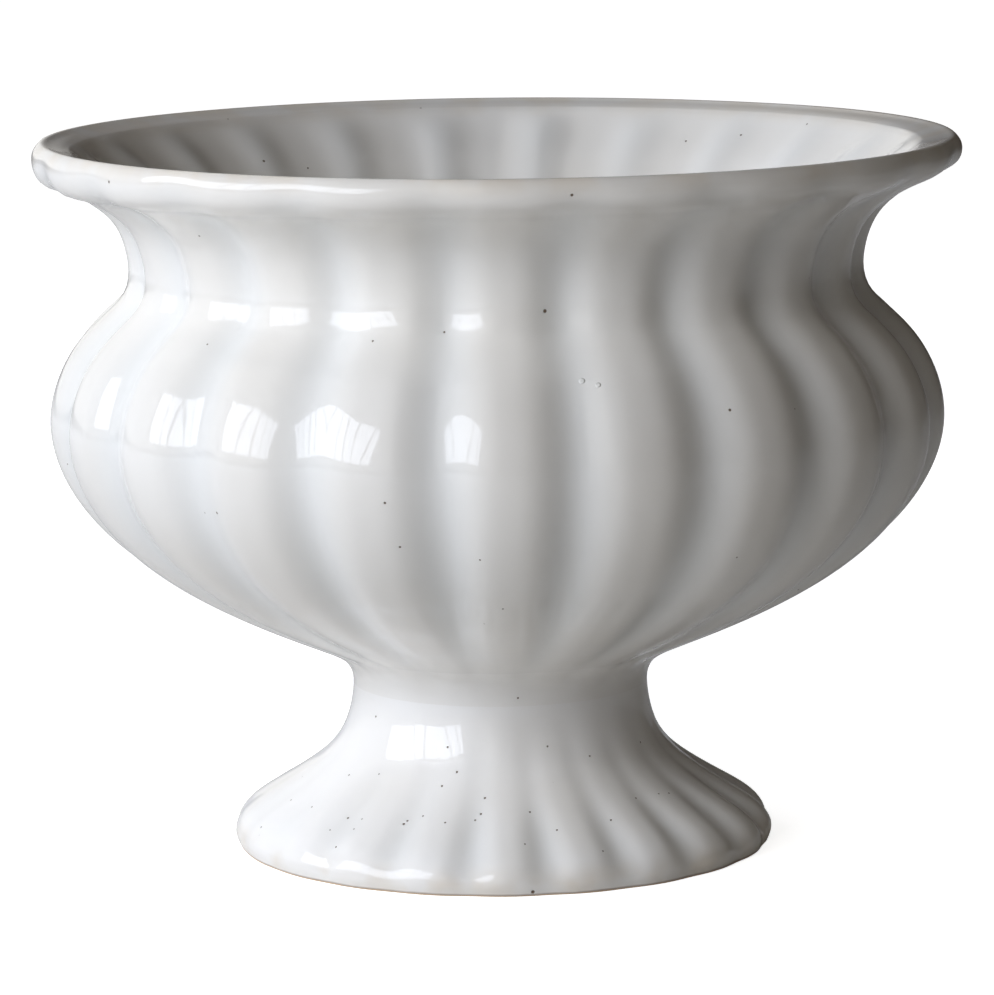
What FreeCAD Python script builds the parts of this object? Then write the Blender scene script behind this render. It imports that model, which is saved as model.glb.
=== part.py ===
import FreeCAD, Part
import math
import os

# Footed cachepot of white glazed earthenware, in millimetres.
# The origin is the centre of the foot on the table, +Z up, and a lobe's crest faces the front, -Y.
# A moulded bowl and a moulded hollow foot are luted together with slip at the waist.

# Lobes round the pot, alike in number and place on the bowl and on the foot
flute_count = 22

# Foot, measured on the crests of its lobes
foot_height = 49.0
base_radius = 72.4
foot_radius = 73.9
foot_edge_height = 3.2
waist_radius = 40.2
waist_height = 43.0
foot_wall = 7.5
standing_ring_width = 9.0
foot_flute_depth = 3.0

# Slip between the two, with the bead that is squeezed out and wiped to a hollow
slip_thickness = 1.0
seat_inset = 0.9
bead_drop = 3.4
bead_reach = 7.7
bead_root = 0.6

# Bowl, measured on the crests of its lobes, with heights from its seat on the slip
bowl_height = 142.2
belly_radius = 120.6
belly_rise = 66.5
neck_radius = 98.9
neck_rise = 108.0
rim_radius = 125.0
lip_round = 4.8
lip_under = 3.0
bowl_wall = 6.5
floor_thickness = 8.5
floor_radius = 42.0
belly_flute_depth = 3.5

# Length by which cutting shapes run past what they cut
overrun = 2.0

# The bowl's outer line from one named level to the next: shares of the way out, of the way up,
# and of the belly's flute depth
underside_shares = (
    (0.00, 0.00, 0.00),
    (0.13, 0.07, 0.20),
    (0.30, 0.16, 0.50),
    (0.53, 0.30, 0.85),
    (0.75, 0.48, 1.10),
    (0.905, 0.68, 1.12),
    (0.98, 0.86, 1.05),
)
shoulder_shares = (
    (0.00, 0.00, 1.00),
    (0.115, 0.31, 1.00),
    (0.37, 0.54, 1.00),
    (0.71, 0.72, 0.97),
    (0.935, 0.85, 0.90),
)
flare_shares = (
    (0.00, 0.00, 0.80),
    (0.03, 0.20, 0.76),
    (0.10, 0.395, 0.72),
    (0.22, 0.565, 0.72),
    (0.44, 0.73, 0.80),
    (0.75, 0.885, 0.88),
)

# The lip is a round bead, tighter under its edge, followed in even steps from there over the top to
# the inner wall. The flutes of the flare run out on its outer face, so the lip is softly scalloped.
lip_start_angle = -59.0
lip_end_angle = 155.0
lip_depth_shares = (0.85, 0.6, 0.36, 0.17, 0.06, 0.0, 0.0)

# The inner face repeats the lobes a little softer than the outer one
inner_depth_share = 0.8

# The foot's outer line: from the base over the rounded edge, then shares of the way in from the edge
# to the waist, of the way up, and of the foot's flute depth
foot_edge_depth_shares = (0.33, 0.58)
foot_flank_shares = (
    (0.04, 0.10, 0.80),
    (0.15, 0.19, 1.00),
    (0.34, 0.29, 0.82),
    (0.625, 0.44, 0.30),
    (0.84, 0.60, 0.14),
    (0.955, 0.79, 0.05),
)

# Across one lobe: turn in lobe pitches, share of the groove's depth, and side of the handle
lobe_row_shares = (
    (-0.5, 1.0, 0),
    (-0.5, 1.0, 1),
    (0.0, 0.0, -1),
    (0.0, 0.0, 0),
    (0.0, 0.0, 1),
    (0.5, 1.0, -1),
    (0.5, 1.0, 0),
)

# Handles at full depth, as shares of those of a round ring: broad crests between narrow grooves
crest_handle_share = 1.7
groove_handle_share = 0.85

origin = FreeCAD.Vector(0, 0, 0)
up = FreeCAD.Vector(0, 0, 1)
full_turn = 360.0
lobe_pitch = 2 * math.pi / flute_count
seat_height = foot_height + slip_thickness
seat_radius = waist_radius - seat_inset
bore_radius = waist_radius - foot_wall


def profile_point(radius, height):
    """A point of an outline, drawn in the XZ plane."""
    return FreeCAD.Vector(radius, 0, height)


def between(start, end, shares, full_depth):
    """Stations (radius, height, flute depth) on the way from one level to the next."""
    (start_radius, start_height), (end_radius, end_height) = start, end
    return [
        (
            start_radius + out * (end_radius - start_radius),
            start_height + rise * (end_height - start_height),
            depth * full_depth,
        )
        for out, rise, depth in shares
    ]


def joined(bands):
    """All stations of an outline that is kept in bands."""
    return [station for band in bands for station in band]


def smooth_line(stations):
    """The curve through an outline's stations, with the chord lengths as its parameters."""
    points = [profile_point(radius, height) for radius, height, depth in stations]
    lengths = [0.0]
    for last, point in zip(points, points[1:]):
        lengths.append(lengths[-1] + last.distanceToPoint(point))
    curve = Part.BSplineCurve()
    curve.interpolate(Points=points, Parameters=lengths)
    return curve, lengths


def inner_bands(bands, wall, depth_share):
    """The outline one wall thickness inside another one that runs upwards."""
    curve, lengths = smooth_line(joined(bands))
    remaining = iter(lengths)
    inner = []
    for band in bands:
        inner.append([])
        for radius, height, depth in band:
            along = curve.tangent(next(remaining))[0]
            inner[-1].append((radius - wall * along.z, height + wall * along.x, depth * depth_share))
    return inner


def lobe_surface(stations, lengths, full_depth):
    """One lobe of a fluted skin.

    Each half of the lobe is a cubic span from groove to crest. Its handles stand square to the radius,
    so neighbouring lobes run smoothly into each other. Where the depth is zero the ring is round.
    """
    handle = 4 / 3 * math.tan(lobe_pitch / 8)
    rows = []
    for turn, groove, side in lobe_row_shares:
        angle = turn * lobe_pitch
        full_share = groove_handle_share if groove else crest_handle_share
        points = []
        for radius, height, depth in stations:
            out = radius - groove * depth
            aside = side * handle * out * (1 + (full_share - 1) * depth / full_depth)
            points.append(
                FreeCAD.Vector(
                    out * math.sin(angle) + aside * math.cos(angle),
                    aside * math.sin(angle) - out * math.cos(angle),
                    height,
                )
            )
        row = Part.BSplineCurve()
        row.interpolate(Points=points, Parameters=lengths)
        rows.append(row)
    surface = Part.BSplineSurface()
    surface.buildFromPolesMultsKnots(
        [row.getPoles() for row in rows],
        [4, 3, 4],
        rows[0].getMultiplicities(),
        [0, 1, 2],
        rows[0].getKnots(),
        False,
        False,
        3,
        rows[0].Degree,
    )
    return surface


def round_the_pot(shape):
    """Copies of one lobe's shape, turned to every lobe's place."""
    return [shape.rotated(origin, up, full_turn * i / flute_count) for i in range(flute_count)]


def fluted_solid(bands, full_depth):
    """A solid whose side is one fluted skin, closed by a flat face at the skin's first and last ring.

    Each band of stations is a ring of faces of its own, and the skin runs smoothly from band to band.
    """
    stations = joined(bands)
    lengths = smooth_line(stations)[1]
    rings = [lengths[len(joined(bands[:i]))] for i in range(len(bands))] + lengths[-1:]
    surface = lobe_surface(stations, lengths, full_depth)
    first_u, last_u = surface.bounds()[:2]
    faces = []
    for lower, upper in zip(rings, rings[1:]):
        strip = surface.copy()
        strip.segment(first_u, last_u, lower, upper)
        faces += round_the_pot(strip.toShape())
    for ring in (rings[0], rings[-1]):
        faces.append(Part.Face(Part.Wire(round_the_pot(surface.vIso(ring).toShape()))))
    shell = Part.makeShell(faces)
    shell.sewShape()
    solid = Part.Solid(shell)
    if solid.Volume < 0:
        solid.reverse()
    return solid


def revolved(edges):
    """A closed outline in the XZ plane, turned about the pot's axis."""
    return Part.Face(Part.Wire(edges)).revolve(origin, up, full_turn)


def polyline(points):
    """Straight edges from point to point."""
    return [Part.makeLine(start, end) for start, end in zip(points, points[1:])]


def lip_stations():
    """The round bead of the lip, from under its edge over the top to the inner wall."""
    edge_height = seat_height + bowl_height - lip_round
    steps = len(lip_depth_shares) - 1
    stations = []
    for step, depth in enumerate(lip_depth_shares):
        turn = math.radians(lip_start_angle + (lip_end_angle - lip_start_angle) * step / steps)
        bend = lip_under if turn < 0 else lip_round
        radius = rim_radius - bend + bend * math.cos(turn)
        stations.append((radius, edge_height + bend * math.sin(turn), depth * belly_flute_depth))
    return stations


def bowl_outer_bands():
    """The bowl's outer line: from its seat to the belly, on to the neck, and out under the lip."""
    seat = (seat_radius, seat_height)
    belly = (belly_radius, seat_height + belly_rise)
    neck = (neck_radius, seat_height + neck_rise)
    lip = lip_stations()[0][:2]
    return [
        between(seat, belly, underside_shares, belly_flute_depth),
        between(belly, neck, shoulder_shares, belly_flute_depth),
        between(neck, lip, flare_shares, belly_flute_depth),
    ]


def fluted_bowl():
    """One moulded shell: outer lobes, rolled lip, inner lobes and a flat floor inside and under it."""
    outer = bowl_outer_bands()
    inner = [band[::-1] for band in inner_bands(outer, bowl_wall, inner_depth_share)[::-1]]
    inner[-1][-1] = (floor_radius, seat_height + floor_thickness, 0.0)
    return fluted_solid(outer + [lip_stations()] + inner, belly_flute_depth)


def foot_bands():
    """The foot's outer line: the rounded edge on the table, the flank, and the stem to its flat top."""
    edge = (foot_radius, foot_edge_height)
    waist = (waist_radius, waist_height)
    base_depth, edge_depth = (share * foot_flute_depth for share in foot_edge_depth_shares)
    return [
        [(base_radius, 0.0, base_depth), edge + (edge_depth,)],
        between(edge, waist, foot_flank_shares, foot_flute_depth),
        [waist + (0.0,), (waist_radius, foot_height, 0.0)],
    ]


def foot_hollow(bands):
    """The hollow under the bowl, one wall inside the flank and open at both ends."""
    ring_bore = base_radius - standing_ring_width
    flank = [
        station
        for station in inner_bands(bands, foot_wall, 0.0)[1]
        if station[0] < ring_bore and station[1] > 0
    ]
    line = smooth_line([(ring_bore, 0.0, 0.0)] + flank + [(bore_radius, waist_height, 0.0)])[0]
    ends = [
        profile_point(bore_radius, waist_height),
        profile_point(bore_radius, foot_height + overrun),
        profile_point(0, foot_height + overrun),
        profile_point(0, -overrun),
        profile_point(ring_bore, -overrun),
        profile_point(ring_bore, 0),
    ]
    return revolved([line.toShape()] + polyline(ends))


def pedestal_foot():
    """A flared foot, fluted outside, plain inside, standing on a flat ring."""
    bands = foot_bands()
    return fluted_solid(bands, foot_flute_depth).cut(foot_hollow(bands)).Solids[0]


def luting_slip(bowl, foot):
    """The joint: a thin bed between foot and bowl, and the hollow bead in the corner outside it."""
    stem = waist_radius - bead_root
    reach = waist_radius + bead_reach
    under_bowl = smooth_line(bowl_outer_bands()[0])[0]
    plumb = Part.LineSegment(
        profile_point(reach, seat_height),
        profile_point(reach, seat_height + belly_rise),
    )
    lower = profile_point(stem, foot_height - bead_drop)
    corner = profile_point(waist_radius, seat_height)
    upper = profile_point(reach, under_bowl.intersectCC(plumb)[0].Z + bead_root)
    bed = polyline(
        [
            upper,
            profile_point(bore_radius, upper.z),
            profile_point(bore_radius, foot_height),
            profile_point(stem, foot_height),
            lower,
        ]
    )
    bead = Part.BezierCurve()
    bead.setPoles([lower, corner, upper])
    return revolved([bead.toShape()] + bed).cut(bowl).cut(foot).Solids[0]


os.makedirs("parts", exist_ok=True)
bowl_solid = fluted_bowl()
foot_solid = pedestal_foot()
pieces = {
    "fluted_bowl": bowl_solid,
    "luting_slip": luting_slip(bowl_solid, foot_solid),
    "pedestal_foot": foot_solid,
}
for name, shape in pieces.items():
    shape.exportStep(f"parts/{name}.step")
    print(name, shape.isValid(), round(shape.Volume / 1000, 2), "cm3", len(shape.Faces), "faces")
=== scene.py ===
import math

import bpy
import numpy as np
from mathutils import Matrix, Vector


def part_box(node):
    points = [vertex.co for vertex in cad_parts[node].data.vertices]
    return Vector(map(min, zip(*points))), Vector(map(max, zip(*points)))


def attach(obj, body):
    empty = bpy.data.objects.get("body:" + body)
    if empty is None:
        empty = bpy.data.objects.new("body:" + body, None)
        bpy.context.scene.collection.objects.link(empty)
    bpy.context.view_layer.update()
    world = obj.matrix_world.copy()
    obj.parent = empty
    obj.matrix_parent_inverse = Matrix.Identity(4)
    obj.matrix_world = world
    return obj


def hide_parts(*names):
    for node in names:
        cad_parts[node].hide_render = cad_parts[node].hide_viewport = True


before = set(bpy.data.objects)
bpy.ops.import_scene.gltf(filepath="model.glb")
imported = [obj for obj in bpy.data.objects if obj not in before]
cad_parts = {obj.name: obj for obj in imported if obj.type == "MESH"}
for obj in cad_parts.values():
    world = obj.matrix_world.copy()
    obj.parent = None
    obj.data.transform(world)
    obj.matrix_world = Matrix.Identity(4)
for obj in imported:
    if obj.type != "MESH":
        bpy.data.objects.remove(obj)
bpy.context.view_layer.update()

# Footed cachepot of white tin-glazed earthenware: a lobed bowl luted to a lobed foot.
# Everything is in metres in the frame of the construction; a lobe's crest faces the front, -Y.

mm = 0.001

# Sizes taken from the frame, on the crests that face the front; the inset keeps the uneven pot in its box
hand_inset = 0.45 * mm
bowl_low, bowl_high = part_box("fluted_bowl")
foot_low, foot_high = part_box("pedestal_foot")
rim_radius = -bowl_low.y - hand_inset
rim_height = bowl_high.z
seat_height = bowl_low.z
foot_radius = -foot_low.y - hand_inset
foot_height = foot_high.z

# Sizes of the bowl, on the crests of its lobes
seat_radius = 39.3 * mm
belly_radius = 120.6 * mm
belly_height = 116.5 * mm
neck_radius = 98.9 * mm
neck_height = 158.0 * mm
lip_round = 4.2 * mm
lip_shelf_width = 8.4 * mm
lip_shelf_fall = 2.2 * mm
bowl_wall = 6.5 * mm
floor_height = 58.5 * mm
floor_radius = 42.0 * mm
belly_flute_depth = 3.5 * mm
inner_depth_share = 0.8
bowl_groove_sharpness = 1.8

# Sizes of the foot, on the crests of its lobes
base_radius = 72.4 * mm
foot_edge_height = 3.2 * mm
waist_radius = 40.2 * mm
waist_height = 43.0 * mm
foot_wall = 7.5 * mm
standing_ring_width = 9.0 * mm
foot_flute_depth = 3.0 * mm
foot_groove_sharpness = 1.5

# Slip bead in the corner between the two; its edges lie just under the skins beside it
bead_drop = 6.4 * mm
bead_reach = 12.0 * mm
bead_skin = 0.05 * mm
bead_steps = 16

# Outlines between the named levels: shares of the way out, of the way up and of the flute depth
underside_shares = (
    (0.00, 0.00, 0.00),
    (0.13, 0.07, 0.20),
    (0.30, 0.16, 0.50),
    (0.53, 0.30, 0.85),
    (0.75, 0.48, 1.10),
    (0.905, 0.68, 1.12),
    (0.98, 0.86, 1.05),
)
shoulder_shares = (
    (0.00, 0.00, 1.00),
    (0.115, 0.31, 1.00),
    (0.37, 0.54, 1.00),
    (0.71, 0.72, 0.97),
    (0.935, 0.85, 0.90),
)
flare_shares = (
    (0.00, 0.00, 0.80),
    (0.03, 0.20, 0.76),
    (0.10, 0.395, 0.72),
    (0.22, 0.565, 0.72),
    (0.44, 0.73, 0.80),
    (0.75, 0.885, 0.75),
)
foot_edge_depth_shares = (0.15, 0.38)
foot_flank_shares = (
    (0.04, 0.10, 0.80),
    (0.15, 0.19, 1.00),
    (0.34, 0.29, 0.82),
    (0.625, 0.44, 0.30),
    (0.84, 0.60, 0.14),
    (0.955, 0.79, 0.05),
)
floor_shares = (0.8, 0.5, 0.0)

# Round the lip's edge from below to the ridge on top: angles in degrees and shares of the flute depth.
# From there a shelf falls inwards to the crease above the inner wall: shares of its width and fall.
lip_edge_shares = ((-59, 0.50), (-30, 0.36), (0, 0.24), (22, 0.16), (44, 0.08), (65, 0.0))
lip_shelf_shares = ((0.2, 0.15), (0.6, 0.55), (1.0, 1.0))

# The hand in it: lobes a little unequal, walls a little out of true, the middle a little to the left
lobe_count = 22
steps_per_lobe = 16
lobe_turn = math.radians(1.1)
lobe_drift = math.radians(2.0)
lobe_wander = math.radians(0.3)
depth_variety = 0.25
unevenness = 0.35 * mm
lean = -0.6 * mm
lean_start_share = 0.6
lean_end_share = 0.8
foot_left_softness = 0.85
hand_seed = 7.0
hand_noise_scales = {"wander": 1.6, "variety": 2.5, "dent": 2.0, "sag": 1.2, "lip_wave": 4.5}

# The heavy lip hangs lower on the left and is uneven all round: depth below the rim, share of the droop
lip_droop = 2.0 * mm
lip_unevenness = 0.6 * mm
droop_shares = (
    (2.0 * mm, 0.0),
    (4.0 * mm, 0.15),
    (6.2 * mm, 0.70),
    (7.4 * mm, 1.00),
    (10.5 * mm, 0.77),
    (14.6 * mm, 0.50),
    (19.0 * mm, 0.38),
    (24.0 * mm, 0.20),
    (30.0 * mm, 0.0),
)

# Where the glaze runs thin over an edge: height on the pot and share of the thinning
thin_glaze_shares = (
    (0.0, 0.4),
    (3.2 * mm, 0.7),
    (8.0 * mm, 0.0),
    (rim_height - 5.0 * mm, 0.0),
    (rim_height, 0.7),
)

# What shows in the glaze: sizes of its patterns, the bare clay at the standing ring, and the pinholes
glaze_noise_sizes = {"cloud": 45 * mm, "patch": 14 * mm, "ragged": 7 * mm, "peel": 6 * mm}
glaze_refraction = 1.5
peel_depth = 0.03 * mm
clay_line = 0.6 * mm
clay_line_wobble = 0.5 * mm
rust_line = 1.1 * mm
pinhole_radius = 0.35 * mm
pinhole_depth = 0.2 * mm
pinhole_core_share = 0.55
speck_height = 0.25 * mm
pinhole_spacings = {"bowl": 14 * mm, "slip_bead": 14 * mm, "foot": 7 * mm}
# The foot's glaze is set whiter than the bowl's: painted light that brightens the foot where the lamps leave
# it darker
glaze_whites_and_foot_light = {"bowl": "#ECEAE5", "slip_bead": "#EEECE8", "foot": "#F4F3F1"}

# Pinholes that the picture shows, by their pixels there, and their radius
pits = {
    "bowl": (
        (545, 311, 0.60 * mm),
        (217, 513, 0.45 * mm),
        (385, 503, 0.38 * mm),
        (400, 547, 0.38 * mm),
        (480, 560, 0.32 * mm),
        (503, 609, 0.32 * mm),
        (730, 410, 0.42 * mm),
        (109, 182, 0.45 * mm),
        (572, 195, 0.45 * mm),
        (264, 161, 0.50 * mm),
        (228, 119, 0.35 * mm),
        (308, 168, 0.35 * mm),
        (686, 141, 0.38 * mm),
        (741, 135, 0.38 * mm),
        (807, 124, 0.35 * mm),
    ),
    "slip_bead": ((518, 698, 0.35 * mm),),
    "foot": (
        (291, 800, 0.34 * mm),
        (330, 830, 0.26 * mm),
        (336, 847, 0.34 * mm),
        (348, 818, 0.40 * mm),
        (349, 775, 0.34 * mm),
        (354, 829, 0.28 * mm),
        (362, 819, 0.28 * mm),
        (379, 774, 0.26 * mm),
        (404, 824, 0.42 * mm),
        (423, 816, 0.32 * mm),
        (442, 786, 0.36 * mm),
        (457, 772, 0.36 * mm),
        (481, 814, 0.38 * mm),
        (485, 798, 0.38 * mm),
        (525, 844, 0.30 * mm),
        (530, 812, 0.34 * mm),
        (557, 830, 0.34 * mm),
        (603, 851, 0.30 * mm),
        (611, 820, 0.34 * mm),
        (636, 798, 0.36 * mm),
        (669, 793, 0.34 * mm),
        (533, 892, 0.60 * mm),
    ),
}

# Grit that stands out under the glaze, given alike
specks = {"bowl": ((582, 381, 0.9 * mm), (598, 385, 0.8 * mm)), "slip_bead": (), "foot": ()}

# Mesh rows along an outline, and what counts as one point or a crisp edge there
longest_step = 2.4 * mm
fewest_steps = 3
merge_distance = 0.01 * mm
crisp_angle = math.radians(35)

# Camera that took the picture, with its distances in metres and angles in degrees
picture_width = 994
picture_height = 995
focal_length_pixels = 5070
camera_place = (0.0, -1.357, 0.3126)
camera_pitch = 9.17
camera_turn = 0.04
camera_roll = -0.59
camera_far = 100

# Studio: a window-like lamp of upright panes on the left and softer panels, round the pot's middle.
# Angles are in degrees from the front, positive to the right, and brightness is that of the lamp's face.
studio_centre = (0, 0, 0.11)
lamp_distance = 1.7
daylight = "#EDF3FF"
warm_white = "#FFF9F1"
window_azimuth = -60
window_elevation = 21
window_height = 0.95
window_brightness = 4.85
window_panes = ((-0.80, 0.26), (-0.46, 0.36), (-0.09, 0.30), (0.29, 0.34), (0.65, 0.30), (0.90, 0.14))
soft_panels = (
    ("low_panel", -45, 7, 0.80, 0.36, 2.2, daylight),
    ("side_panel", -30, 24, 0.45, 0.59, 2.2, daylight),
    ("front_panel", -15, 34, 0.91, 0.59, 2.1, warm_white),
    ("back_panel", -135, 30, 0.77, 0.59, 6.6, daylight),
)
room_light = (0.022, 0.015, 0.007, 1.0)
room_shine_left = (0.92, 0.90, 0.86, 1.0)
room_shine_right = (0.055, 0.047, 0.040, 1.0)
room_left_end, room_right_start = -0.14, -0.01
room_white = (1.0, 1.0, 1.0, 1.0)
floor_reach = 8.0
floor_near, floor_far = 0.15, 1.2
floor_near_level, floor_far_level = 0.84, 1.0
floor_shine = 0.1
floor_shine_left, floor_shine_right = -0.25, 0.15


def linear(code):
    """An sRGB hex colour as linear RGBA."""
    channels = [int(code[i : i + 2], 16) / 255 for i in (1, 3, 5)]
    return [c / 12.92 if c <= 0.04045 else ((c + 0.055) / 1.055) ** 2.4 for c in channels] + [1.0]


def add_node(tree, kind, inputs=None, **settings):
    """A new node with its settings; each input is given a value or linked to a socket."""
    node = tree.nodes.new(kind)
    for name, value in settings.items():
        setattr(node, name, value)
    for name, value in (inputs or {}).items():
        if isinstance(value, bpy.types.NodeSocket):
            tree.links.new(value, node.inputs[name])
        else:
            node.inputs[name].default_value = value
    return node


def between(start, end, shares, full_depth):
    """Stations (radius, height, flute depth) on the way from one level to the next."""
    (start_radius, start_height), (end_radius, end_height) = start, end
    return [
        (
            start_radius + out * (end_radius - start_radius),
            start_height + rise * (end_height - start_height),
            depth * full_depth,
        )
        for out, rise, depth in shares
    ]


def spline_bends(stations, chords):
    """Second derivatives of the natural cubic spline through the stations."""
    count = len(stations)
    system = np.identity(count)
    sides = np.zeros_like(stations)
    for i in range(1, count - 1):
        before, after = chords[i - 1], chords[i]
        system[i, i - 1 : i + 2] = before, 2 * (before + after), after
        sides[i] = 6 * ((stations[i + 1] - stations[i]) / after - (stations[i] - stations[i - 1]) / before)
    return np.linalg.solve(system, sides)


def smooth_through(stations):
    """Points along the steady curve through the stations, close enough together for a mesh."""
    stations = np.array(stations, float)
    chords = np.linalg.norm(np.diff(stations[:, :2], axis=0), axis=1)
    bends = spline_bends(stations, chords)
    points = [stations[0]]
    for i, chord in enumerate(chords):
        steps = max(fewest_steps, math.ceil(chord / longest_step))
        for step in range(1, steps + 1):
            ahead = step / steps
            back = 1 - ahead
            bow = (back**3 - back) * bends[i] + (ahead**3 - ahead) * bends[i + 1]
            points.append(back * stations[i] + ahead * stations[i + 1] + bow * chord**2 / 6)
    return points


def wall_inside(stations, wall, depth_share):
    """Stations one wall thickness inside an outline that runs upwards."""
    places = np.array(stations, float)
    chords = np.linalg.norm(np.diff(places[:, :2], axis=0), axis=1)
    bends = spline_bends(places, chords)
    inside = []
    for i in range(len(places)):
        k = min(i, len(chords) - 1)
        slope = (places[k + 1] - places[k]) / chords[k]
        if i == k:
            slope = slope - chords[k] * (2 * bends[k] + bends[k + 1]) / 6
        else:
            slope = slope + chords[k] * (bends[k] + 2 * bends[k + 1]) / 6
        out, rise = slope[:2] / np.linalg.norm(slope[:2])
        inside.append((places[i][0] - wall * rise, places[i][1] + wall * out, places[i][2] * depth_share))
    return inside


def lip_stations():
    """The round edge of the lip up to its ridge, and the shelf from there to the crease inside."""
    ridge = math.radians(lip_edge_shares[-1][0])
    edge_height = rim_height - lip_round * math.sin(ridge)
    stations = []
    for angle, depth in lip_edge_shares:
        turn = math.radians(angle)
        radius = rim_radius - lip_round * (1 - math.cos(turn))
        stations.append((radius, edge_height + lip_round * math.sin(turn), depth * belly_flute_depth))
    ridge_radius = stations[-1][0]
    for inward, fall in lip_shelf_shares:
        stations.append((ridge_radius - inward * lip_shelf_width, rim_height - fall * lip_shelf_fall, 0.0))
    return stations


def bowl_outer_stations():
    """The bowl's outer line from its seat by belly and neck to the flare under the lip."""
    seat = (seat_radius, seat_height)
    belly = (belly_radius, belly_height)
    neck = (neck_radius, neck_height)
    lip = lip_stations()[0][:2]
    return (
        between(seat, belly, underside_shares, belly_flute_depth)
        + between(belly, neck, shoulder_shares, belly_flute_depth)
        + between(neck, lip, flare_shares, belly_flute_depth)
    )


def bowl_outline():
    """Once round the bowl's section: flat seat, outer wall, lip, inner wall and floor.

    A fourth value of each point is its share of the lip's droop.
    """
    outer = bowl_outer_stations()
    lip = lip_stations()
    crease = lip[-1]
    inner = wall_inside(outer, bowl_wall, inner_depth_share)[::-1]
    reach = crease[0] - bowl_wall
    inner = [station for station in inner if station[1] < neck_height or station[0] < reach]
    inner[-1] = (floor_radius, floor_height, 0.0)
    floor = [(floor_radius * share, floor_height, 0.0) for share in floor_shares]
    below, droops = zip(*droop_shares)
    outside = []
    for station in outer + lip:
        droop = float(np.interp(rim_height - station[1], below, droops))
        outside.append(station + (droop,))
    inside = [station + (0.0,) for station in [crease] + inner + floor]
    seat = smooth_through([(0.0, seat_height, 0.0, 0.0), outside[0]])
    return seat[:-1] + smooth_through(outside)[:-1] + smooth_through(inside)


def foot_outline():
    """Once round the foot's section: standing ring, outer flank, flat top and the hollow inside."""
    edge = (foot_radius, foot_edge_height)
    waist = (waist_radius, waist_height)
    ring_bore = base_radius - standing_ring_width
    bore = waist_radius - foot_wall
    base_depth, edge_depth = (share * foot_flute_depth for share in foot_edge_depth_shares)
    flank = between(edge, waist, foot_flank_shares, foot_flute_depth)
    outer = [
        (base_radius, 0.0, base_depth),
        edge + (edge_depth,),
        *flank,
        waist + (0.0,),
        (waist_radius, foot_height, 0.0),
    ]
    inside = wall_inside(flank, foot_wall, 0.0)
    hollow = [station for station in inside if station[0] < ring_bore and station[1] > 0]
    hollow = [(bore, waist_height, 0.0)] + hollow[::-1] + [(ring_bore, 0.0, 0.0)]
    top = smooth_through([outer[-1], (bore, foot_height, 0.0)])
    ring = smooth_through([hollow[-1], outer[0]])
    return smooth_through(outer)[:-1] + top + smooth_through(hollow) + ring[1:]


def bead_outline():
    """Once round the slip's section: the hollow bead from the stem to the bowl, and the bed behind it."""
    reach = waist_radius + bead_reach
    bore = waist_radius - foot_wall
    seat = (seat_radius, seat_height)
    belly = (belly_radius, belly_height)
    underside = np.array(smooth_through(between(seat, belly, underside_shares, belly_flute_depth)))
    corner_height = np.interp(waist_radius, underside[:, 0], underside[:, 1])
    reach_height, reach_depth = (np.interp(reach, underside[:, 0], underside[:, i]) for i in (1, 2))
    lower = np.array((waist_radius - bead_skin, foot_height - bead_drop, 0.0))
    corner = np.array((waist_radius, corner_height, 0.0))
    upper = np.array((reach, reach_height + bead_skin, reach_depth))
    poles = (lower, (lower + corner) / 2, corner, (corner + upper) / 2, upper)
    last = len(poles) - 1
    bead = []
    for along in np.linspace(0, 1, bead_steps + 1):
        pulls = [math.comb(last, k) * along**k * (1 - along) ** (last - k) for k in range(last + 1)]
        bead.append(sum(pull * pole for pull, pole in zip(pulls, poles)))
    covered = [place + (0, bead_skin, 0) for place in underside[::-1] if place[0] < reach]
    bed = [(bore, seat_height, 0.0), (bore, foot_height, 0.0), (waist_radius - bead_skin, foot_height, 0.0)]
    return bead + covered + bed + [bead[0]]


def lean_at(height):
    """How far the middle of the pot stands to the side; the rim and the base are true."""
    up = min(1.0, height / (lean_start_share * waist_height))
    down = min(1.0, max(0.0, (rim_height - height) / (lean_end_share * (rim_height - neck_height))))
    return lean * up * down


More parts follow.
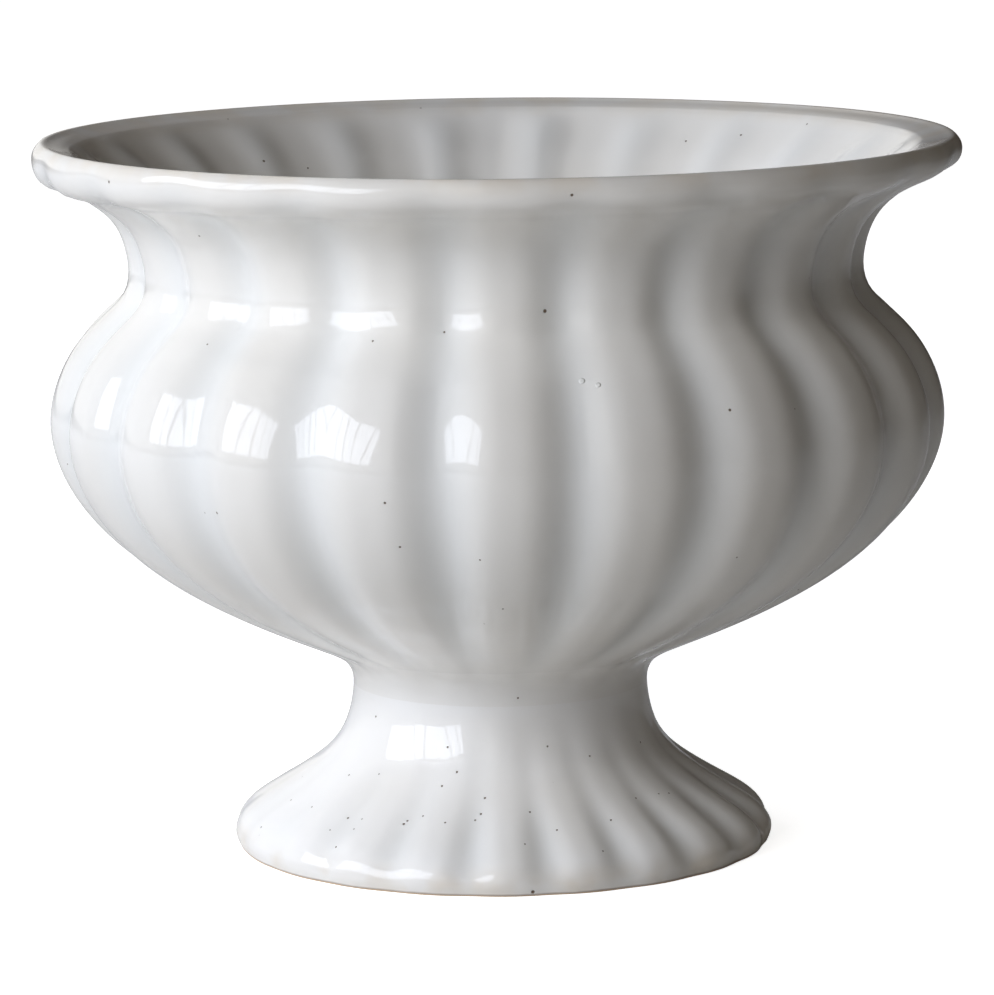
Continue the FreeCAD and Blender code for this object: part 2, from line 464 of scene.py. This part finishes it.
def shell_tree():
    """Geometry nodes that turn an outline round the pot's axis and press the lobes into it."""
    tree = bpy.data.node_groups.new("fluted_shell", "GeometryNodeTree")
    sockets = (
        ("Outline", "NodeSocketGeometry"),
        ("Columns", "NodeSocketInt"),
        ("Rows", "NodeSocketInt"),
        ("Lobes", "NodeSocketInt"),
        ("Lobe turn", "NodeSocketFloat"),
        ("Lobe drift", "NodeSocketFloat"),
        ("Lobe wander", "NodeSocketFloat"),
        ("Groove sharpness", "NodeSocketFloat"),
        ("Depth variety", "NodeSocketFloat"),
        ("Left softness", "NodeSocketFloat"),
        ("Unevenness", "NodeSocketFloat"),
        ("Lip droop", "NodeSocketFloat"),
        ("Lip unevenness", "NodeSocketFloat"),
        ("Seed", "NodeSocketFloat"),
        ("Finish", "NodeSocketMaterial"),
    )
    for name, kind in sockets:
        tree.interface.new_socket(name, in_out="INPUT", socket_type=kind)
    tree.interface.new_socket("Shell", in_out="OUTPUT", socket_type="NodeSocketGeometry")
    given = add_node(tree, "NodeGroupInput").outputs
    known = {name: given[name] for name, kind in sockets}

    # A flat grid: across it runs the turn, from the back to the left, the front and the right,
    # and along it the rows of the outline
    grid = add_node(
        tree,
        "GeometryNodeMeshGrid",
        {"Size X": 2 * math.pi, "Size Y": 1.0, "Vertices X": given["Columns"], "Vertices Y": given["Rows"]},
    )
    row = add_node(
        tree,
        "ShaderNodeMath",
        {0: add_node(tree, "GeometryNodeInputIndex").outputs[0], 1: given["Rows"]},
        operation="MODULO",
    ).outputs[0]
    carried = ("radius", "height", "level", "flute_depth", "lean", "droop_share", "hand_share", "thin_glaze")
    for name in carried:
        value = add_node(tree, "GeometryNodeInputNamedAttribute", {"Name": name}, data_type="FLOAT")
        known[name] = add_node(
            tree,
            "GeometryNodeSampleIndex",
            {"Geometry": given["Outline"], "Value": value.outputs["Attribute"], "Index": row},
            data_type="FLOAT",
            domain="POINT",
        ).outputs[0]

    # The way that each point faces, and slow noise round the pot and up it, the same for all pieces
    place = add_node(tree, "GeometryNodeInputPosition").outputs[0]
    known["turn"] = add_node(tree, "ShaderNodeSeparateXYZ", {0: place}).outputs["X"]
    facing = add_node(
        tree,
        "ShaderNodeVectorRotate",
        {"Vector": (0, -1, 0), "Angle": known["turn"]},
        rotation_type="Z_AXIS",
    ).outputs[0]
    sides = add_node(tree, "ShaderNodeSeparateXYZ", {0: facing}).outputs
    known["across"], known["ahead"] = sides["X"], sides["Y"]
    compass = add_node(
        tree, "ShaderNodeCombineXYZ", {"X": known["across"], "Y": known["ahead"], "Z": known["level"]}
    ).outputs[0]
    for name, scale in hand_noise_scales.items():
        known[name] = add_node(
            tree,
            "ShaderNodeTexNoise",
            {"Vector": compass, "W": given["Seed"], "Scale": scale, "Detail": 1.0},
            noise_dimensions="4D",
        ).outputs[0]

    # The rule for a point's place, one sum a line: its name, what is done and what goes in
    sums = (
        ("wander swing", "MULTIPLY_ADD", "wander", 2.0, -1.0),
        ("wandered turn", "MULTIPLY_ADD", "wander swing", "Lobe wander", "Lobe turn"),
        ("shift", "MULTIPLY_ADD", "across", "Lobe drift", "wandered turn"),
        ("from crest", "SUBTRACT", "turn", "shift"),
        ("phase", "MULTIPLY", "from crest", "Lobes"),
        ("crest", "COSINE", "phase"),
        ("trough", "MULTIPLY_ADD", "crest", -0.5, 0.5),
        ("groove", "POWER", "trough", "Groove sharpness"),
        ("to the left", "MULTIPLY", "across", -1.0),
        ("left share", "MAXIMUM", "to the left", 0.0),
        ("softening", "MULTIPLY", "left share", "Left softness"),
        ("firmness", "SUBTRACT", 1.0, "softening"),
        ("variety swing", "MULTIPLY_ADD", "variety", 2.0, -1.0),
        ("unequal", "MULTIPLY_ADD", "variety swing", "Depth variety", 1.0),
        ("hand depth", "MULTIPLY", "unequal", "firmness"),
        ("depth", "MULTIPLY", "flute_depth", "hand depth"),
        ("cut", "MULTIPLY", "depth", "groove"),
        ("uneven here", "MULTIPLY", "Unevenness", "hand_share"),
        ("inward", "MULTIPLY_ADD", "dent", "uneven here", "cut"),
        ("out", "SUBTRACT", "radius", "inward"),
        ("x", "MULTIPLY_ADD", "out", "across", "lean"),
        ("y", "MULTIPLY", "out", "ahead"),
        ("sag room", "MULTIPLY", "uneven here", "level"),
        ("sagged", "MULTIPLY", "sag", "sag room"),
        ("left droop", "MULTIPLY", "left share", "Lip droop"),
        ("uneven droop", "MULTIPLY_ADD", "lip_wave", "Lip unevenness", "left droop"),
        ("fall", "MULTIPLY_ADD", "uneven droop", "droop_share", "sagged"),
        ("z", "SUBTRACT", "height", "fall"),
    )
    for name, operation, *values in sums:
        inputs = {i: known[value] if isinstance(value, str) else value for i, value in enumerate(values)}
        known[name] = add_node(tree, "ShaderNodeMath", inputs, operation=operation).outputs[0]
    moved = add_node(
        tree, "ShaderNodeCombineXYZ", {"X": known["x"], "Y": known["y"], "Z": known["z"]}
    ).outputs[0]

    # What the finish needs is kept with the mesh before the grid is bent
    kept = add_node(
        tree,
        "GeometryNodeStoreNamedAttribute",
        {"Geometry": grid.outputs["Mesh"], "Name": "UVMap", "Value": grid.outputs["UV Map"]},
        data_type="FLOAT2",
        domain="CORNER",
    ).outputs[0]
    for name, value in (("groove_cut", known["cut"]), ("thin_glaze", known["thin_glaze"])):
        kept = add_node(
            tree,
            "GeometryNodeStoreNamedAttribute",
            {"Geometry": kept, "Name": name, "Value": value},
            data_type="FLOAT",
            domain="POINT",
        ).outputs[0]
    bent = add_node(tree, "GeometryNodeSetPosition", {"Geometry": kept, "Position": moved}).outputs[0]
    closed = add_node(
        tree, "GeometryNodeMergeByDistance", {"Geometry": bent, "Distance": merge_distance}
    ).outputs[0]
    smooth = add_node(tree, "GeometryNodeSetShadeSmooth", {"Geometry": closed}, domain="FACE").outputs[0]
    corner = add_node(
        tree,
        "FunctionNodeCompare",
        {"A": add_node(tree, "GeometryNodeInputMeshEdgeAngle").outputs[0], "B": crisp_angle},
        data_type="FLOAT",
        operation="GREATER_THAN",
    ).outputs[0]
    crisp = add_node(
        tree,
        "GeometryNodeSetShadeSmooth",
        {"Geometry": smooth, "Selection": corner, "Shade Smooth": False},
        domain="EDGE",
    ).outputs[0]
    real = add_node(tree, "GeometryNodeRealizeInstances", {"Geometry": crisp}).outputs[0]
    finished = add_node(
        tree, "GeometryNodeSetMaterial", {"Geometry": real, "Material": given["Finish"]}
    ).outputs[0]
    add_node(tree, "NodeGroupOutput", {"Shell": finished})
    return tree


def turned_piece(name, tree, outline, groove_sharpness, left_softness, finish):
    """A plain mesh object: the outline turned and fluted by the tree."""
    points = np.array(outline)
    radius, height = points[:, 0], points[:, 1]
    columns = {
        "radius": radius,
        "height": height,
        "level": height / rim_height,
        "flute_depth": np.maximum(points[:, 2], 0),
        "lean": [lean_at(z) for z in height],
        "droop_share": points[:, 3] if points.shape[1] > 3 else np.zeros(len(points)),
        "hand_share": np.minimum(radius / seat_radius, 1),
        "thin_glaze": np.interp(height, *zip(*thin_glaze_shares)),
    }
    host_mesh = bpy.data.meshes.new(name + "_outline")
    host_mesh.from_pydata([(x, 0, z) for x, z in points[:, :2]], [], [])
    for column, values in columns.items():
        stored = host_mesh.attributes.new(column, "FLOAT", "POINT")
        stored.data.foreach_set("value", np.array(values, np.float32))
    host = bpy.data.objects.new(name + "_outline", host_mesh)
    bpy.context.scene.collection.objects.link(host)
    modifier = host.modifiers.new("fluted_shell", "NODES")
    modifier.node_group = tree
    values = {
        "Columns": lobe_count * steps_per_lobe + 1,
        "Rows": len(points),
        "Lobes": lobe_count,
        "Lobe turn": lobe_turn,
        "Lobe drift": lobe_drift,
        "Lobe wander": lobe_wander,
        "Groove sharpness": groove_sharpness,
        "Depth variety": depth_variety,
        "Left softness": left_softness,
        "Unevenness": unevenness,
        "Lip droop": lip_droop,
        "Lip unevenness": lip_unevenness,
        "Seed": hand_seed,
        "Finish": finish,
    }
    for socket in tree.interface.items_tree:
        if socket.in_out == "INPUT" and socket.name in values:
            modifier[socket.identifier] = values[socket.name]
    evaluated = host.evaluated_get(bpy.context.evaluated_depsgraph_get())
    mesh = bpy.data.meshes.new_from_object(evaluated)
    mesh.name = name
    bpy.data.objects.remove(host)
    piece = bpy.data.objects.new(name, mesh)
    bpy.context.scene.collection.objects.link(piece)
    return piece


def seen_at(piece, across, down):
    """The point of a piece that the picture shows at a pixel."""
    eye = bpy.context.scene.camera.matrix_world
    aim = Vector((across - picture_width / 2, picture_height / 2 - down, -focal_length_pixels))
    return piece.ray_cast(eye.translation, (eye.to_3x3() @ aim).normalized())[1]


def tin_glaze(material, piece, white, pinhole_spacing, seen_pits, seen_specks):
    """Tin-glazed earthenware, dipped by hand: an opaque white glassy coat on buff clay.

    It looks glossy and a little wavy, cool where it pools in the grooves and creamy where it runs thin
    over an edge. Gas from the clay left pinholes, grit stands out, and the standing ring is wiped bare.
    """
    material.use_nodes = True
    tree = material.node_tree
    shader = tree.nodes["Principled BSDF"]
    where = add_node(tree, "ShaderNodeTexCoord").outputs["Object"]
    known = {"up": add_node(tree, "ShaderNodeSeparateXYZ", {0: where}).outputs["Z"]}
    for name, size in glaze_noise_sizes.items():
        known[name] = add_node(
            tree, "ShaderNodeTexNoise", {"Vector": where, "Scale": 1 / size, "Detail": 2.0}
        ).outputs[0]
    for name in ("groove_cut", "thin_glaze"):
        known[name] = add_node(tree, "ShaderNodeAttribute", attribute_name=name).outputs["Fac"]
    known["ragged up"] = add_node(
        tree,
        "ShaderNodeMath",
        {0: known["ragged"], 1: clay_line_wobble, 2: known["up"]},
        operation="MULTIPLY_ADD",
    ).outputs[0]
    known["to a pore"] = add_node(
        tree, "ShaderNodeTexVoronoi", {"Vector": where, "Scale": 1 / pinhole_spacing}
    ).outputs["Distance"]

    # Each mask: its name, the value that it reads, where it starts and ends, and what it gives there
    pore = pinhole_radius / pinhole_spacing
    masks = (
        ("pooled", "groove_cut", 0.0, belly_flute_depth, 0.0, 0.6),
        ("patchy", "patch", 0.40, 0.62, 0.1, 0.8),
        ("clouded", "cloud", 0.3, 0.75, 0.1, 0.7),
        ("gloss", "cloud", 0.3, 0.7, 0.045, 0.09),
        ("rust", "ragged up", clay_line, rust_line, 0.7, 0.0),
        ("bare", "ragged up", 0.8 * clay_line, clay_line, 1.0, 0.0),
        ("hole", "to a pore", pore, pinhole_core_share * pore, 0.0, 1.0),
    )
    for name, value, start, end, first, last in masks:
        known[name] = add_node(
            tree,
            "ShaderNodeMapRange",
            {"Value": known[value], "From Min": start, "From Max": end, "To Min": first, "To Max": last},
        ).outputs[0]
    known["thin"] = add_node(
        tree, "ShaderNodeMath", {0: known["thin_glaze"], 1: known["patchy"]}, operation="MULTIPLY"
    ).outputs[0]
    for name, marks in (("hole", seen_pits), ("speck", seen_specks)):
        for across, down, radius in marks:
            spot = seen_at(piece, across, down)
            away = add_node(
                tree, "ShaderNodeVectorMath", {0: where, 1: spot}, operation="DISTANCE"
            ).outputs["Value"]
            mark = add_node(
                tree,
                "ShaderNodeMapRange",
                {"Value": away, "From Min": radius, "From Max": pinhole_core_share * radius},
                interpolation_type="SMOOTHSTEP",
            ).outputs[0]
            known[name] = add_node(
                tree, "ShaderNodeMath", {0: known.get(name, 0.0), 1: mark}, operation="MAXIMUM"
            ).outputs[0]

    # For the foot this white is partly painted light, whiter than the bowl's glaze
    colour = linear(white)
    for mask, code in (
        ("clouded", "#E3DFD7"),
        ("pooled", "#E4E6E5"),
        ("thin", "#DFD3C0"),
        ("hole", "#6A5949"),
        ("rust", "#8A6E4F"),
        ("bare", "#CBB397"),
    ):
        colour = add_node(
            tree, "ShaderNodeMix", {"Factor": known[mask], 6: colour, 7: linear(code)}, data_type="RGBA"
        ).outputs[2]
    roughness = known["gloss"]
    for mask, value in (("hole", 0.5), ("bare", 0.85)):
        roughness = add_node(
            tree, "ShaderNodeMix", {"Factor": known[mask], 2: roughness, 3: value}, data_type="FLOAT"
        ).outputs[0]
    height = 0.0
    for mask, rise in (("peel", peel_depth), ("hole", -pinhole_depth), ("speck", speck_height)):
        if mask in known:
            height = add_node(
                tree, "ShaderNodeMath", {0: known[mask], 1: rise, 2: height}, operation="MULTIPLY_ADD"
            ).outputs[0]
    bump = add_node(tree, "ShaderNodeBump", {"Height": height, "Strength": 1.0, "Distance": 1.0}).outputs[0]
    tree.links.new(colour, shader.inputs["Base Color"])
    tree.links.new(roughness, shader.inputs["Roughness"])
    tree.links.new(bump, shader.inputs["Normal"])
    shader.inputs["IOR"].default_value = glaze_refraction


def area_light(name, place, target, width, height, brightness, colour):
    """A flat rectangular lamp that faces the target, with the brightness of its face."""
    data = bpy.data.lights.new(name, "AREA")
    data.shape = "RECTANGLE"
    data.size = width
    data.size_y = height
    data.energy = brightness * math.pi * width * height
    data.color = linear(colour)[:3]
    lamp = bpy.data.objects.new(name, data)
    bpy.context.scene.collection.objects.link(lamp)
    lamp.location = place
    lamp.rotation_euler = (Vector(target) - Vector(place)).to_track_quat("-Z", "Y").to_euler()
    return lamp


def camera():
    """The eye that took the picture."""
    data = bpy.data.cameras.new("camera")
    data.sensor_fit = "HORIZONTAL"
    data.lens = data.sensor_width * focal_length_pixels / picture_width
    data.clip_end = camera_far
    eye = bpy.data.objects.new("camera", data)
    bpy.context.scene.collection.objects.link(eye)
    eye.matrix_world = (
        Matrix.Translation(camera_place)
        @ Matrix.Rotation(math.radians(camera_turn), 4, "Z")
        @ Matrix.Rotation(math.radians(90 - camera_pitch), 4, "X")
        @ Matrix.Rotation(math.radians(camera_roll), 4, "Z")
    )
    bpy.context.scene.camera = eye


def towards(azimuth, elevation):
    """A lamp's place as seen from the studio's centre."""
    turn, rise = math.radians(azimuth), math.radians(elevation)
    way = Vector((math.cos(rise) * math.sin(turn), -math.cos(rise) * math.cos(turn), math.sin(rise)))
    return Vector(studio_centre) + lamp_distance * way


def lamps():
    """The window's panes in one plane, and soft panels that fill the shade and don't show in the gloss."""
    middle = towards(window_azimuth, window_elevation)
    facing = (Vector(studio_centre) - middle).normalized()
    side = facing.cross(Vector((0, 0, 1))).normalized()
    for number, (offset, width) in enumerate(window_panes):
        place = middle + side * offset
        area_light(
            f"pane_{number}", place, place + facing, width, window_height, window_brightness, daylight
        )
    for name, azimuth, elevation, width, height, brightness, colour in soft_panels:
        place = towards(azimuth, elevation)
        fill = area_light(name, place, studio_centre, width, height, brightness, colour)
        fill.visible_glossy = False


def in_gloss(tree, ray):
    """A socket that is one for what gloss or glass shows, from the light path's sockets."""
    return add_node(
        tree,
        "ShaderNodeMath",
        {0: ray["Is Glossy Ray"], 1: ray["Is Transmission Ray"]},
        operation="MAXIMUM",
    ).outputs[0]


def room():
    """The dim room: warm light on the pot, paler in its gloss towards the window, white to the eye."""
    world = bpy.data.worlds.new("room")
    bpy.context.scene.world = world
    world.use_nodes = True
    tree = world.node_tree
    ray = add_node(tree, "ShaderNodeLightPath").outputs
    way = add_node(tree, "ShaderNodeTexCoord").outputs["Generated"]
    across = add_node(tree, "ShaderNodeSeparateXYZ", {0: way}).outputs["X"]
    rightness = add_node(
        tree,
        "ShaderNodeMapRange",
        {"Value": across, "From Min": room_left_end, "From Max": room_right_start},
    ).outputs[0]
    shine = add_node(
        tree,
        "ShaderNodeMix",
        {"Factor": rightness, 6: room_shine_left, 7: room_shine_right},
        data_type="RGBA",
    ).outputs[2]
    mirrored = in_gloss(tree, ray)
    inside = add_node(
        tree, "ShaderNodeMix", {"Factor": mirrored, 6: room_light, 7: shine}, data_type="RGBA"
    ).outputs[2]
    glow = add_node(
        tree, "ShaderNodeMix", {"Factor": ray["Is Camera Ray"], 6: inside, 7: room_white}, data_type="RGBA"
    ).outputs[2]
    tree.links.new(glow, tree.nodes["Background"].inputs["Color"])


def floor():
    """Pale paper that reads as white, keeps the shadow and shows in the gloss on the lit side."""
    mesh = bpy.data.meshes.new("floor")
    corners = [(-1, -1), (1, -1), (1, 1), (-1, 1)]
    mesh.from_pydata([(x * floor_reach, y * floor_reach, 0) for x, y in corners], [], [(0, 1, 2, 3)])
    sheet = bpy.data.objects.new("floor", mesh)
    bpy.context.scene.collection.objects.link(sheet)
    paper = bpy.data.materials.new("pale_paper")
    paper.use_nodes = True
    tree = paper.node_tree
    tree.nodes.clear()
    ray = add_node(tree, "ShaderNodeLightPath").outputs
    spot = add_node(tree, "ShaderNodeTexCoord").outputs["Object"]
    away = add_node(tree, "ShaderNodeVectorMath", {0: spot}, operation="LENGTH").outputs["Value"]
    level = add_node(
        tree,
        "ShaderNodeMapRange",
        {
            "Value": away,
            "From Min": floor_near,
            "From Max": floor_far,
            "To Min": floor_near_level,
            "To Max": floor_far_level,
        },
    ).outputs[0]
    shine = add_node(
        tree,
        "ShaderNodeMapRange",
        {
            "Value": add_node(tree, "ShaderNodeSeparateXYZ", {0: spot}).outputs["X"],
            "From Min": floor_shine_left,
            "From Max": floor_shine_right,
            "To Min": floor_shine,
            "To Max": 0.0,
        },
    ).outputs[0]
    mirrored = in_gloss(tree, ray)
    seen = add_node(
        tree, "ShaderNodeMath", {0: ray["Is Camera Ray"], 1: level}, operation="MULTIPLY"
    ).outputs[0]
    strength = add_node(
        tree, "ShaderNodeMath", {0: mirrored, 1: shine, 2: seen}, operation="MULTIPLY_ADD"
    ).outputs[0]
    matte = add_node(tree, "ShaderNodeBsdfDiffuse", {"Color": linear("#E8E6E2")}).outputs[0]
    glow = add_node(tree, "ShaderNodeEmission", {"Color": room_white, "Strength": strength}).outputs[0]
    both = add_node(tree, "ShaderNodeAddShader", {0: matte, 1: glow}).outputs[0]
    add_node(tree, "ShaderNodeOutputMaterial", {"Surface": both})
    mesh.materials.append(paper)


bpy.context.scene.view_settings.view_transform = "Standard"
camera()
shell = shell_tree()
pieces = (
    ("bowl", bowl_outline(), bowl_groove_sharpness, 0.0, "fluted_bowl", "white_glaze"),
    ("slip_bead", bead_outline(), bowl_groove_sharpness, 0.0, "luting_slip", "glazed_slip"),
    ("foot", foot_outline(), foot_groove_sharpness, foot_left_softness, "pedestal_foot", "white_glaze"),
)
for name, outline, sharpness, softness, node, slot in pieces:
    finish = bpy.data.materials.new("tin_glaze_" + name)
    piece = turned_piece(name, shell, outline, sharpness, softness, finish)
    bpy.context.view_layer.update()
    tin_glaze(finish, piece, glaze_whites_and_foot_light[name], pinhole_spacings[name], pits[name], specks[name])
    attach(piece, "root")
    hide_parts(node)
lamps()
room()
floor()
